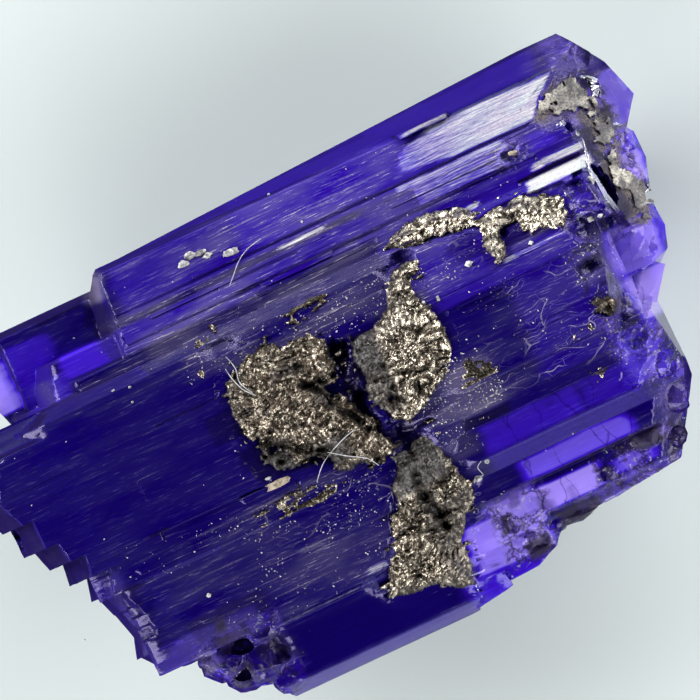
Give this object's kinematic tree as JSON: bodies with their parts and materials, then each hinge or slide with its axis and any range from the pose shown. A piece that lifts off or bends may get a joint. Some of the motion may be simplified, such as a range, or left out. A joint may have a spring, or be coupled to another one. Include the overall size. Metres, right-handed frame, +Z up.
{
  "type": "rough tanzanite",
  "caption": "Rough tanzanite: a deep blue-violet crystal of parallel, striated columns with broken clear ends and crusts of brassy grey graphite, lying on a flat face.",
  "frame": {"origin": "middle of the bounding box in X and Y, on the flat face that the stone rests on", "axes": "+X along the striations, towards the broken clear end with the clay seam; +Y across them, towards the bright frosted upper facet; +Z up out of the rest face, towards the broad front faces and the graphite"},
  "size_m": [0.021, 0.0134, 0.0078],
  "materials": {
    "tanzanite": "clear deep blue-violet crystal, glassy on the windows, frosted and finely striated along the columns",
    "graphite": "granular, metallic grey with a pale brassy sparkle",
    "clay": "dull tan-grey earth"
  },
  "bodies": {
    "root": {"tanzanite_crystal": "tanzanite", "graphite_left": "graphite", "graphite_middle": "graphite", "graphite_lower": "graphite", "graphite_ridge": "graphite", "clay_crust": "clay"}
  },
  "joints": []
}
